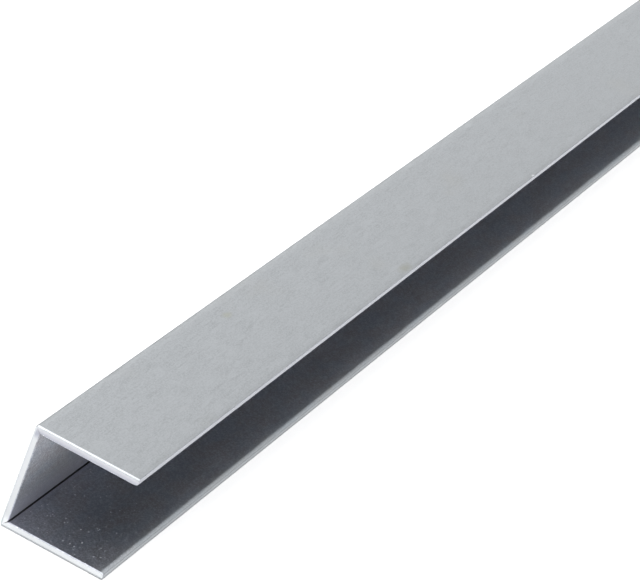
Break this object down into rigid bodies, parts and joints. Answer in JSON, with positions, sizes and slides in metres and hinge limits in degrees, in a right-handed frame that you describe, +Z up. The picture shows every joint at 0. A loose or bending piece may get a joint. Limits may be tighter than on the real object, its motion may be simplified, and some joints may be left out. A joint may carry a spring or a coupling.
{
  "type": "tile trim",
  "caption": "Straight stainless steel U channel trim, square in section, folded from V-grooved sheet, with sharp outside corners and an open side.",
  "frame": {"origin": "middle of the face the channel lies on, halfway along its length and halfway between its web and its free edges", "axes": "+Y along the length, +X out of the open side towards the free edges, +Z up from the bottom flange to the top flange"},
  "size_m": [0.015, 1, 0.015],
  "materials": {
    "stainless_steel": "satin mill finish with a fine grain along the length; darker inside the channel"
  },
  "bodies": {
    "root": {"u_channel_trim": "stainless_steel"}
  },
  "joints": []
}
